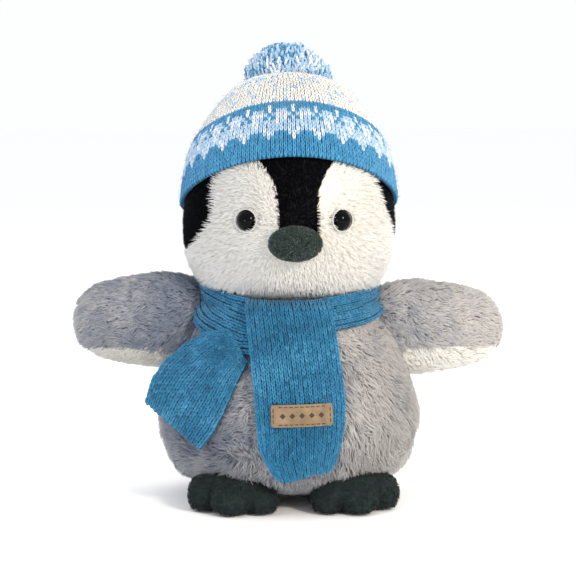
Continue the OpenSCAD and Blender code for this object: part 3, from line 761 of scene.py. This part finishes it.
# how far the blue goes up from the brim, in millimetres
BAND_HIGH = 29
hat_profile = outline("beanie_shell")
hat_profile[:, 1] -= 2.0 * MM * np.clip((hat_profile[:, 0] - 205 * MM) / (25 * MM), 0, 1)
HAT_CENTRE = np.array([AXIS[0], AXIS[1], 170 * MM])
POLE = np.array([0, math.sin(TILT), math.cos(TILT)])
FRONT = np.array([0, -math.cos(TILT), math.sin(TILT)])


def on_hat(theta, polar, inwards=0.0):
    """Points on the beanie's outer surface, in a direction from its middle, moved inwards along it."""
    way = (POLE * np.cos(polar)[..., None] + (FRONT * np.cos(theta)[..., None]
           + np.array([1.0, 0, 0]) * np.sin(theta)[..., None]) * np.sin(polar)[..., None])
    low, high = np.zeros(polar.shape), np.full(polar.shape, 0.13)
    for _ in range(HALVINGS):
        t = (low + high) / 2
        p = HAT_CENTRE + way * t[..., None]
        r = np.hypot(p[..., 0] - AXIS[0], p[..., 1] - AXIS[1])
        inside = (r < np.interp(p[..., 2], *hat_profile.T)) & (p[..., 2] < hat_profile[-1, 0])
        low, high = np.where(inside, t, low), np.where(inside, high, t)
    return HAT_CENTRE + way * (low - inwards)[..., None]


def knit_legs(places, along, across, out, wale, row, thick):
    """The two legs of each stitch as paths: a V whose feet sit inside the stitch below."""
    paths = []
    for s in (-1, 1):
        steps = [(0.04, -0.80, -0.10), (0.19, -0.28, 0.42), (0.29, 0.30, 0.42), (0.26, 0.88, -0.05)]
        paths.append(np.stack([places + across * (s * a * wale)[:, None] + along * (b * row)[:, None]
                               + out * (c * thick) for a, b, c in steps], 1))
    return np.concatenate(paths)


def stitch_piece(name, places, along, across, out, wale, row, thick, shade, seed):
    """Knit stitches at these places, each two fat legs of yarn, a little uneven."""
    rng = np.random.default_rng(seed)
    count = len(places)
    places = places + rng.normal(size=places.shape) * 0.10 * MM
    across = unit(across + 0.12 * rng.normal(size=across.shape))
    path = knit_legs(places, along, across, out, wale, row, thick)
    fat = np.concatenate([wale, wale]) * 0.23 * rng.uniform(0.85, 1.15, 2 * count)
    shade = np.clip(np.tile(shade, 2) + rng.normal(size=2 * count) * 0.02, 0.01, 0.99)
    return tubes(name, path, fat[:, None] * np.array([[0.45, 1.0, 0.95, 0.5]]), np.tile(out, (2, 1)), shade,
                 (0.0, 0.33, 0.66, 1.0), sides=4, pointed=(False, False))


def halo(name, places, out, count, length, shade, seed):
    """The brushed yarn's halo: stray fibres over the stitches, drawn as coarse as they need to show."""
    rng = np.random.default_rng(seed)
    pick = rng.integers(0, len(places), count)
    o = out[pick]
    lean = unit(rng.normal(size=(count, 3)))
    root = places[pick] + rng.normal(size=(count, 3)) * 0.8 * MM
    reach = (length * rng.uniform(0.5, 1.2, count))[:, None]
    middle = root + reach * 0.5 * unit(o * 0.9 + lean)
    tip = middle + reach * 0.5 * unit(o * 0.25 + lean + 0.8 * rng.normal(size=(count, 3)))
    return tubes(name, np.stack([root, middle, tip], 1), np.array([[0.10, 0.09, 0.04]]) * MM, o,
                 np.clip(shade[pick] + 0.04, 0, 1), (0.6, 0.8, 1.0), soft=o * 0.8)


def yarn(name, stops, ends=0.8):
    """Brushed acrylic yarn: soft, matt, its plies just visible, with colour from the stitch's own shade.
    The ends of each leg, which run under the next stitches, are darkened as painted shade."""
    material, shader = finish_of(name, Roughness=0.9, Specular_IOR_Level=0.15, Sheen_Weight=0.22,
                                 Sheen_Roughness=0.5)
    dyed = ramp(material, kept(material, "shade"), *stops)
    plies = noise(material, PLY_SCALE, Detail=3.0).outputs["Fac"]
    fleck = ramp(material, plies, (0.32, "#b4b8bc"), (0.62, "#ffffff"))
    # painted shade: both ends of each leg darken, by the share ends
    painted_tuck_shade = ramp(material, kept(material, "along"), (0.02, "#6d7a83"), (0.3, "#ffffff"), (0.75, "#ffffff"),
                  (1.0, "#8b979e"))
    joined(material, mixed(material, ends, mixed(material, 0.8, dyed, fleck), painted_tuck_shade), shader)
    bumped(material, shader, plies, 0.5, 0.4 * MM)
    return material


def closed_sheet(name, outer, inner, wrap):
    """A closed mesh between two grids of points, (rows, columns, 3).
    With wrap, the last column joins the first."""
    rows, cols = outer.shape[:2]
    verts = np.concatenate([outer.reshape(-1, 3), inner.reshape(-1, 3)])
    faces, half = [], rows * cols
    for j in range(rows - 1):
        for i in range(cols if wrap else cols - 1):
            a, b = j * cols + i, j * cols + (i + 1) % cols
            c, d = b + cols, a + cols
            faces += [(a, b, c, d), (half + d, half + c, half + b, half + a)]
    for i in range(cols if wrap else cols - 1):
        k = (i + 1) % cols
        faces += [(k, i, half + i, half + k),
                  ((rows - 1) * cols + i, (rows - 1) * cols + k, half + (rows - 1) * cols + k,
                   half + (rows - 1) * cols + i)]
    if not wrap:
        for j in range(rows - 1):
            a, d = j * cols, (j + 1) * cols
            faces += [(a, d, half + d, half + a),
                      (d + cols - 1, a + cols - 1, half + a + cols - 1, half + d + cols - 1)]
    mesh = bpy.data.meshes.new(name)
    mesh.from_pydata(verts.tolist(), [], faces)
    made = linked(name, mesh)
    picked_alone(made)
    bpy.ops.object.mode_set(mode="EDIT")
    bpy.ops.mesh.select_all(action="SELECT")
    bpy.ops.mesh.remove_doubles(threshold=0.00005)
    bpy.ops.mesh.normals_make_consistent(inside=False)
    bpy.ops.object.mode_set(mode="OBJECT")
    bpy.ops.object.shade_smooth()
    return made


around = np.arange(BRIM_WALES) * 2 * np.pi / BRIM_WALES
low, high = np.full(BRIM_WALES, 0.8), np.full(BRIM_WALES, 2.3)
for _ in range(HALVINGS):
    half = (low + high) / 2
    p = on_hat(around, half)
    above = p[:, 2] > brim_at(p[:, 1])
    low, high = np.where(above, half, low), np.where(above, high, half)
SAMPLES = 90
polar = low[:, None] * np.linspace(1, 0.012, SAMPLES)[None]
surface = on_hat(np.repeat(around[:, None], SAMPLES, 1), polar, 1.4 * MM)
run = np.concatenate([np.zeros((BRIM_WALES, 1)),
                      np.cumsum(np.linalg.norm(np.diff(surface, axis=1), axis=2), axis=1)], 1)
total = run[:, -1]
rows = int(total.mean() / ROW)
share = (np.arange(rows * 2 + 1) / 2) / rows
ease = share ** 1.5
reach = share[None] * (total.mean() + (total[:, None] - total.mean()) * ease[None])
grid = np.stack([[np.interp(reach[w], run[w], surface[w, :, k]) for w in range(BRIM_WALES)]
                 for k in range(3)], 2)
centres = grid[:, 1::2]
along = unit(grid[:, 2::2] - grid[:, :-1:2])
span = np.roll(centres, -1, 0) - np.roll(centres, 1, 0)
width = np.linalg.norm(span, axis=2) / 2
across = unit(span)
out = unit(np.cross(across, along))
out *= np.sign((out * (centres - HAT_CENTRE)).sum(2))[..., None]
rng = np.random.default_rng(51)
BLUE, PALE, WHITE = 0.12, 0.42, 0.72
# the snow pattern, row by row from the brim up: six wales wide, repeated, in blue, pale blue and white
SNOW = ["bbbbbb", "bbbbbb", "bbbbbb", "bbbbbb", "wbbbbb", "wpbbbp", "pwpppw", "wppwpp", "ppwwpp", "pbwpwb",
        "bpwwwp", "wbpppb", "wbbbbb", "bbbbbb"]
picked, shades, wide = [], [], []
for k in range(rows):
    step = 1
    while width[:, k].mean() * step < 0.62 * WALE:
        step *= 2
    for w in range(0, BRIM_WALES, step):
        if k < len(SNOW):
            tone = {"b": BLUE, "p": PALE, "w": WHITE}[SNOW[k][w % 6]]
        else:
            tone = rng.choice([0.94, 0.86, PALE + 0.06], p=[0.62, 0.26, 0.12])
        if tone == WHITE and rng.random() < 0.25:
            tone = PALE + 0.08
        picked.append((w, k))
        shades.append(tone + rng.uniform(-0.05, 0.05))
        wide.append(width[w, k] * step)
w, k = np.array(picked).T
row_high = np.linalg.norm(grid[:, 2::2] - grid[:, :-1:2], axis=2)[w, k]
knit_blue = yarn("brushed_acrylic_snow_pattern",
                 [(0.0, "#2a80b0"), (0.22, "#50a3d0"), (0.34, "#a3cbea"), (0.5, "#c4dcf2"), (0.62, "#e1eaf6"),
                  (0.8, "#f0f2f4"), (0.9, "#eeece4"), (1.0, "#f6f5f0")], 0.35)
shades, wide = np.array(shades), np.array(wide)
patterned = k < len(SNOW)
places, along, across, out = (field[w, k] for field in (centres, along, across, out))
stitches = [stitch_piece(name, places[part], along[part], across[part], out[part], wide[part], row_high[part],
                         YARN, shades[part], seed)
            for name, part, seed in (("beanie_band_stitches", patterned, 52),
                                     ("beanie_crown_stitches", ~patterned, 54))]
fuzz = halo("beanie_halo", places + out * 0.6 * MM, out, 3800, 2.6 * MM, shades, 53)
ring = np.linspace(0, 1, 40)
wall = lambda inset: np.stack([on_hat(around[::2], low[::2] * s, inset) for s in 1 - ring * 0.985], 0)
cap = closed_sheet("beanie_knit", wall(1.5 * MM), wall(3.2 * MM), True)
# the fabric behind the stitches shows only between them, so it is the yarn's own colour, darkened as painted
# shade, with specks
base, shader = finish_of("acrylic_knit_ground", Roughness=0.95)
specks_and_shade = ramp(base, noise(base, 500.0).outputs["Fac"], (0.3, "#b9bcc0"), (0.7, "#dcdedf"))
band_tone = ramp(base, kept(base, "crown"), (0.45, "#23739f"), (0.55, "#ffffff"))
joined(base, mixed(base, 1.0, specks_and_shade, band_tone), shader)
co = places_of(cap)
above = (co[:, 2] - brim_at(co[:, 1])) / MM
marked(cap.data, "crown", np.clip((above - BAND_HIGH) / 4 + 0.5, 0, 1))
cap.data.materials.append(base)
for piece in stitches + [fuzz]:
    piece.data.materials.append(knit_blue)
for piece in stitches + [cap, fuzz]:
    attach(piece, "beanie")
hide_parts("beanie_shell")

# ---------------------------------------------------------------- pompom
# A cut-yarn pompom of the beanie's own yarns, blue, pale blue and white in patches, tied through
# the crown. Its ends fan out from the tie, and the ones below lie flat on the hat.
ball_low, ball_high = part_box("pompom")
BALL = np.array([(ball_low.x + ball_high.x) / 2, (ball_low.y + ball_high.y) / 2,
                 ball_high.z - (ball_high.x - ball_low.x) / 2])
ENDS = 2150
rng = np.random.default_rng(61)
k = np.arange(ENDS) + 0.5
up = 1 - 1.72 * k / ENDS
spin = np.pi * (1 + 5 ** 0.5) * k
way = np.stack([np.sqrt(1 - up ** 2) * np.cos(spin), np.sqrt(1 - up ** 2) * np.sin(spin), up], 1)
way = unit(way + 0.06 * rng.normal(size=way.shape))
TIE = BALL + np.array([0, 0, -13 * MM])
reach = BALL + way * np.array([24.2, 22.5, 19.6]) * MM * rng.uniform(0.9, 1.04, ENDS)[:, None]
reach[:, 0] += 5 * MM * np.clip(way[:, 0] - 0.3, 0, 1) * np.clip(0.4 - up, 0, 1)
path = TIE + (reach - TIE)[:, None] * np.array([0.3, 0.62, 0.86, 1.0])[None, :, None]
level = way * np.array([1.0, 1.0, 0.25])
path += level[:, None] * (np.array([3.5, 5.0, 3.2, 0.0])[None, :, None] * MM)
path[:, 1:] += rng.normal(size=(ENDS, 3, 3)) * np.array([0.3, 0.5, 0.7])[None, :, None] * MM
patches = drift(way, 1.1, 62)[:, 0] + 0.35 * rng.normal(size=ENDS)
shade = np.select([patches > 0.4, patches > -0.35], [0.14, 0.38], 0.72) + rng.uniform(-0.06, 0.06, ENDS)
ends = tubes("pompom_yarn_ends", path, np.array([[0.5, 0.85, 0.95, 0.7]]) * MM, unit(way[:, [1, 2, 0]]),
             shade, (0.0, 0.5, 0.9, 1.0), sides=4, pointed=(False, False))
ends.data.materials.append(yarn("cut_acrylic_yarn_ends", [
    (0.0, "#2f86b4"), (0.22, "#56a5d0"), (0.34, "#a9cdea"), (0.5, "#c2daf1"), (0.66, "#e4eef8"),
    (1.0, "#ffffff")], 0.0))
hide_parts("pompom")
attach(ends, "beanie")

# ---------------------------------------------------------------- scarf
# A long scarf in the same brushed yarn, plain mid blue, stocking stitch. It is wound once round the
# neck; the front tail falls over the belly from under the chin, and the side tail leaves the knot.
SCARF_T = 4.4 * MM
knit_scarf = yarn("brushed_acrylic_mid_blue", [(0.0, "#1b6188"), (0.5, "#2d7fa9"), (1.0, "#4c9cc4")])
# the knit's ground, darker than its yarn: painted shade between the stitches
shaded_ground = flecked("acrylic_knit_ground_blue", "#103c55", "#1b5273", 500.0, 0.95)


def knitted(name, surface, wales, rows, seed, wrap=False, both=True, fibres=2600, cells=(26, 50), bare=None):
    """A knitted strip: surface(a, b) gives its middle, a from -1 to 1 across and b from 0 to 1 along.
    Nothing shows of the stitches in front inside the box bare, where a patch is sewn on."""
    rng = np.random.default_rng(seed)
    a_line, b_line = np.linspace(-1, 1, cells[0]), np.linspace(0, 1, cells[1])
    if wrap:
        b_line = b_line[:-1]
    b, a = np.meshgrid(b_line, a_line)

    def frame_at(a, b):
        """The directions across, along and out of the strip."""
        near = 1e-3
        da = unit(surface(np.clip(a + near, -1, 1), b) - surface(np.clip(a - near, -1, 1), b))
        db = unit(surface(a, b + near) - surface(a, b - near))
        return da, db, unit(np.cross(da, db))

    middle = surface(a, b)
    da, db, out = frame_at(a, b)
    outwards = (out * (middle - np.array([AXIS[0], AXIS[1], middle[..., 2].mean()]))).sum()
    flip = -1 if outwards < 0 else 1
    out *= flip
    ground_half = SCARF_T / 2 - 1.3 * MM
    thin = ground_half * np.sqrt(np.clip(1 - 0.75 * np.abs(a) ** 8, 0.1, 1))[..., None]
    sheet = closed_sheet(name, middle + out * thin, middle - out * thin, wrap)
    sheet.data.materials.append(shaded_ground)
    grid_a = (np.arange(wales) + 0.5) / wales * 2 - 1
    grid_b = (np.arange(rows) + 0.5) / rows
    bb, aa = [g.ravel() for g in np.meshgrid(grid_b, grid_a)]
    places = surface(aa, bb)
    if bare:
        (low, high), edge = bare, 1.2 * MM
        clear = ((places[:, 0] < low.x + edge) | (places[:, 0] > high.x - edge)
                 | (places[:, 2] < low.z + edge) | (places[:, 2] > high.z - edge))
        aa, bb, places = aa[clear], bb[clear], places[clear]
    da, db, out = frame_at(aa, bb)
    out *= flip
    wale = np.linalg.norm(surface(np.clip(aa + 1 / wales, -1, 1), bb)
                          - surface(np.clip(aa - 1 / wales, -1, 1), bb), axis=1)
    row = np.linalg.norm(surface(aa, bb + 0.5 / rows) - surface(aa, bb - 0.5 / rows), axis=1)
    tone = np.clip(0.5 + 0.5 * drift(places, 30 * MM, seed)[:, 0] * 0.4
                   + rng.normal(size=len(places)) * 0.12, 0.05, 0.95)
    made = []
    for face in ((1, -1) if both else (1,)):
        o = out * face
        made.append(stitch_piece(f"{name}_{'front' if face > 0 else 'back'}", places + o * ground_half, -db,
                                 da, o, wale, row, YARN, tone, seed + face))
    made.append(halo(f"{name}_halo", places + out * (SCARF_T / 2), out, fibres, 3.2 * MM, tone, seed + 5))
    for piece in made:
        piece.data.materials.append(knit_scarf)
    return sheet, made


# The band: its left half sags to the knot under the front tail, its right half lies flat
torso_r = outline("torso_front_panel", "torso_back_panel")
# all the way round, and the heights of the band's lower and upper edges there
TURN = [-180, -135, -90, -75, -60, -45, -28, 0, 22, 45, 70, 90, 135, 180]
LOW = [116, 113, 107.5, 105, 100, 96, 90, 91, 103, 105, 108, 109, 113, 116]
HIGH = [134, 131, 127.5, 127, 125, 122, 120, 119, 121, 123, 124, 125.5, 131, 134]


def band(a, b):
    """The middle of the band, outside the torso and the head, with soft waves along it."""
    turn = b * 360 - 180
    wrap_turn = (turn + 180) % 360 - 180
    low, high = np.interp(wrap_turn, TURN, LOW), np.interp(wrap_turn, TURN, HIGH)
    z = ((low + high) / 2 + a * (high - low) / 2) * MM
    r = np.maximum(np.maximum(np.interp(z, *torso_r.T), 0.93 * np.interp(z, *head_outline.T)), 47 * MM)
    r = r + 3.4 * MM + 0.5 * MM * np.sin(a * 6 + wrap_turn / 40)
    r -= 1.2 * MM * np.abs(a) ** 4
    t = np.radians(turn)
    return np.stack([AXIS[0] + r * np.sin(t), AXIS[1] - r * np.cos(t), z], -1)


wrap_sheet, wrap_parts = knitted("scarf_band", band, 9, 150, 71, wrap=True, both=False, fibres=3200,
                                 cells=(14, 121))
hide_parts("scarf_neck_wrap")
for piece in [wrap_sheet] + wrap_parts:
    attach(piece, "torso")

# The front tail: it narrows a little under the chin and ends in a slanted, rounded edge
tail_r = outline("scarf_front_tail")
TAIL_TOP = 118.5
# how far along the tail, and its left and right edges there
B_LINE = [0, 0.15, 0.32, 0.49, 0.62, 0.75, 0.87, 1.0]
LEFT_X = [-27.5, -26.3, -24.8, -23.2, -22.4, -21.4, -20.0, -13.0]
RIGHT_X = [19.5, 22.4, 24.2, 26.2, 27.3, 26.4, 24.8, 21.0]


def front_tail(a, b):
    """The middle of the front tail, which hangs on the belly in slight waves."""
    x = (np.interp(b, B_LINE, LEFT_X) * (1 - a) + np.interp(b, B_LINE, RIGHT_X) * (1 + a)) / 2
    end = np.interp(a, [-1, -0.6, -0.2, 0.3, 0.7, 1], [23, 20.3, 22.0, 25.0, 25.2, 27.5])
    end = end + 4.0 * np.clip(np.abs(a) - 0.8, 0, 1) / 0.2
    z = TAIL_TOP + (end - TAIL_TOP) * b
    r = np.interp(z * MM, *tail_r.T) - SCARF_T / 2 + 0.9 * MM * np.sin(b * 9 + a * 1.5) * b \
        - 0.8 * MM * np.abs(a) ** 3 - 0.3 * MM * np.clip(z - 114, 0, 9) ** 2
    x = x * MM
    return np.stack([AXIS[0] + x, AXIS[1] - np.sqrt(np.maximum(r ** 2 - x ** 2, 1e-6)), z * MM], -1)


front, front_parts = knitted("scarf_front", front_tail, 20, 42, 81, bare=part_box("label_patch"))
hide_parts("scarf_front_tail")
for piece in [front] + front_parts:
    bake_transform(piece)

# The side tail: a flat end that slants down over the left flank
side_co = places_of(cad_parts["scarf_side_tail"])
basis = lambda x, z: np.stack([np.ones_like(x), x, z, x * x, x * z, z * z], -1)
fit = np.linalg.lstsq(basis(side_co[:, 0], side_co[:, 2]), side_co[:, 1], rcond=None)[0]
# how far along the tail, and x and z of its left and right edges there
S_LINE = [0, 0.2, 0.4, 0.6, 0.8, 1.0]
LEFT_EDGE = np.array([[-36, 103], [-50, 100.5], [-61, 93.5], [-72, 84], [-79.5, 73], [-83.5, 60]])
RIGHT_EDGE = np.array([[-26.5, 86], [-30, 79], [-34, 71], [-39.5, 58], [-46, 46], [-53, 37]])


def side_tail(a, b):
    """The middle of the side tail: flat, at the depth of its solid, with a slight wave."""
    xl, zl = np.interp(b, S_LINE, LEFT_EDGE[:, 0]), np.interp(b, S_LINE, LEFT_EDGE[:, 1])
    xr, zr = np.interp(b, S_LINE, RIGHT_EDGE[:, 0]), np.interp(b, S_LINE, RIGHT_EDGE[:, 1])
    x = (xl * (1 - a) + xr * (1 + a)) / 2 * MM
    z = (zl * (1 - a) + zr * (1 + a)) / 2 * MM
    y = (basis(x, z) * fit).sum(-1) - 0.7 * MM * np.sin(b * 7 + a) + 1.0 * MM * np.abs(a) ** 3
    return np.stack([x, y, z], -1)


side_sheet, side_parts = knitted("scarf_side", side_tail, 14, 25, 91, cells=(22, 36), fibres=2200)
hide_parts("scarf_side_tail")
for piece in [side_sheet] + side_parts:
    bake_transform(piece)

# ---------------------------------------------------------------- label patch
# A tan leather-look patch with rounded corners, sewn near the end of the front tail with a row of
# dark running stitches. Its face has a plain row of small dark diamonds, pressed in hot.
PRESS_STEP, PRESS_HALF = 5.4 * MM, 1.7 * MM
# split leather: fine grain, with paler and darker patches
leather, shader = finish_of("tan_split_leather", Roughness=0.62)


def sum_of(operation, *values):
    """The result of a math node on the leather."""
    return add(leather, "ShaderNodeMath", dict(enumerate(values)), operation=operation).outputs[0]


spot = add(leather, "ShaderNodeTexCoord").outputs["Object"]
grain = add(leather, "ShaderNodeTexVoronoi", {"Vector": spot, "Scale": 1500.0})
stain = ramp(leather, noise(leather, 160.0, Detail=5.0).outputs["Fac"], (0.3, "#6f5a40"), (0.7, "#8b7354"))
low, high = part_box("label_patch")
axes = add(leather, "ShaderNodeSeparateXYZ", {"Vector": spot})
from_x = sum_of("SUBTRACT", axes.outputs["X"], (low.x + high.x) / 2)
from_z = sum_of("SUBTRACT", axes.outputs["Z"], (low.z + high.z) / 2)
from_row = sum_of("ABSOLUTE", sum_of("MULTIPLY_ADD", from_x, -0.03, from_z))
diamond = sum_of("LESS_THAN", sum_of("ADD", sum_of("PINGPONG", from_x, PRESS_STEP / 2), from_row), PRESS_HALF)
in_row = sum_of("LESS_THAN", sum_of("ABSOLUTE", from_x), 2.4 * PRESS_STEP)
pressed_in = sum_of("MULTIPLY", diamond, in_row)
joined(leather, mixed(leather, pressed_in, stain, colour("#2b241c"), "MIX"), shader)
bumped(leather, shader, grain.outputs["Distance"], 0.25, 0.3 * MM)
painted("label_patch", leather)
# waxed cotton thread, dark brown
painted("label_stitches", flecked("waxed_brown_thread", "#2c2118", "#4d3b2a", 3000.0, 0.5))

# ---------------------------------------------------------------- inside
# The parts that stay hidden: fibre stuffing, a cotton bag of pellets that weights the base, the
# eyes' washers and the pompom's tie. Each keeps its own solid and gets its own finish.
for nodes, name, dark, pale, rough, scale in [
        (("torso_stuffing", "head_stuffing"), "hollow_fibre_fill", "#dfe0e0", "#fbfbfa", 0.95, 260.0),
        (("pellet_bag",), "woven_cotton_bag", "#d3cdbd", "#f0ebdf", 0.9, 900.0),
        (("pellet_fill",), "polyethylene_pellets", "#c4cbcf", "#eef2f4", 0.35, 420.0),
        (("eye_left_washer", "eye_right_washer"), "natural_polypropylene", "#d5d5d0", "#efefec", 0.4, 300.0),
        (("pompom_tie",), "nylon_tie_thread", "#dcdcdc", "#ffffff", 0.5, 2500.0)]:
    filler = flecked(name, dark, pale, scale, rough)
    for node in nodes:
        painted(node, filler)
